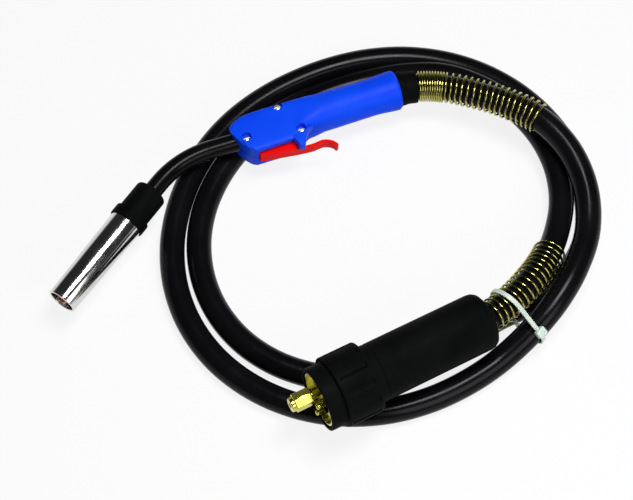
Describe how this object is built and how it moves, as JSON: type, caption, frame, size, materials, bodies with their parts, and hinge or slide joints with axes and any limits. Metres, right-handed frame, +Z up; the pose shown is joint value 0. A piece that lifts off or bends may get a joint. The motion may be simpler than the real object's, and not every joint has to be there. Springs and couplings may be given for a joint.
{
  "type": "mig welding torch",
  "caption": "Swan-neck MIG welding torch with a straight handle, a trigger lever and a coiled power cable that ends in a central connector with a union nut.",
  "frame": {"origin": "middle of the contact tip's front face, where the welding wire leaves", "axes": "+X along the handle toward the cable, +Z up from the flat side that the handset lies on, -Y the side of the trigger"},
  "size_m": [0.4426, 0.3252, 0.0753],
  "materials": {
    "nozzle_chrome": "polished",
    "copper": "satin copper",
    "brass": "machined",
    "black_plastic": "moulded",
    "black_paint": "satin black",
    "blue_plastic": "moulded",
    "red_plastic": "moulded",
    "white_plastic": "moulded",
    "steel": "plated",
    "spring_wire": "yellow passivated",
    "cable_rubber": "smooth"
  },
  "bodies": {
    "torch": {"contact_tip": "copper", "tip_holder": "brass", "gas_diffuser": "brass", "nozzle_insulator": "black_plastic", "neck_inner_tube": "brass", "swan_neck": "black_paint", "neck_block": "brass", "handle_shell_upper": "blue_plastic", "handle_shell_lower": "blue_plastic", "handle_screws": "steel", "trigger_pin": "steel", "switch_body": "black_plastic", "rear_collar": "black_plastic", "cable_end_fitting": "brass", "front_support_spring": "spring_wire", "power_cable": "cable_rubber", "rear_support_spring": "spring_wire", "cable_tie": "white_plastic", "connector_housing": "black_plastic", "plug_body": "brass", "nut_retainer": "steel", "liner_nut": "brass", "control_pin_bushes": "black_plastic", "connector_cable_fitting": "brass"},
    "nozzle": {"gas_nozzle": "nozzle_chrome"},
    "trigger_lever": {"trigger": "red_plastic"},
    "plunger": {"switch_plunger": "white_plastic"},
    "nut": {"union_nut": "black_plastic"},
    "control_a": {"control_pin_a": "brass"},
    "control_b": {"control_pin_b": "brass"}
  },
  "joints": [
    {"name": "nozzle_pull", "type": "slide", "parent": "torch", "child": "nozzle", "axis": [-0.7986, -0.6018, 0], "range_m": [0, 0.012]},
    {"name": "trigger_press", "type": "hinge", "parent": "torch", "child": "trigger_lever", "pos_m": [0.18228, 0.07523, 0], "axis": [0, 0, 1], "range_deg": [0, 6], "stiffness_Nm_per_rad": 0.5, "springref_deg": -11.46},
    {"name": "plunger_slide", "type": "slide", "parent": "torch", "child": "plunger", "axis": [0, 1, 0], "range_m": [0, 0.00152]},
    {"name": "nut_turn", "type": "hinge", "parent": "torch", "child": "nut", "pos_m": [0.18688, -0.13996, 0.01476], "axis": [-0.9863, -0.1562, 0.0523], "continuous": true},
    {"name": "control_pin_a_press", "type": "slide", "parent": "torch", "child": "control_a", "axis": [0.9863, 0.1562, -0.0523], "range_m": [0, 0.0025], "stiffness_N_per_m": 400, "springref_m": -0.002},
    {"name": "control_pin_b_press", "type": "slide", "parent": "torch", "child": "control_b", "axis": [0.9863, 0.1562, -0.0523], "range_m": [0, 0.0025], "stiffness_N_per_m": 400, "springref_m": -0.002}
  ],
  "couplings": [
    {"joint": "plunger_slide", "follows": "trigger_press", "m_per_rad": 0.0145}
  ]
}
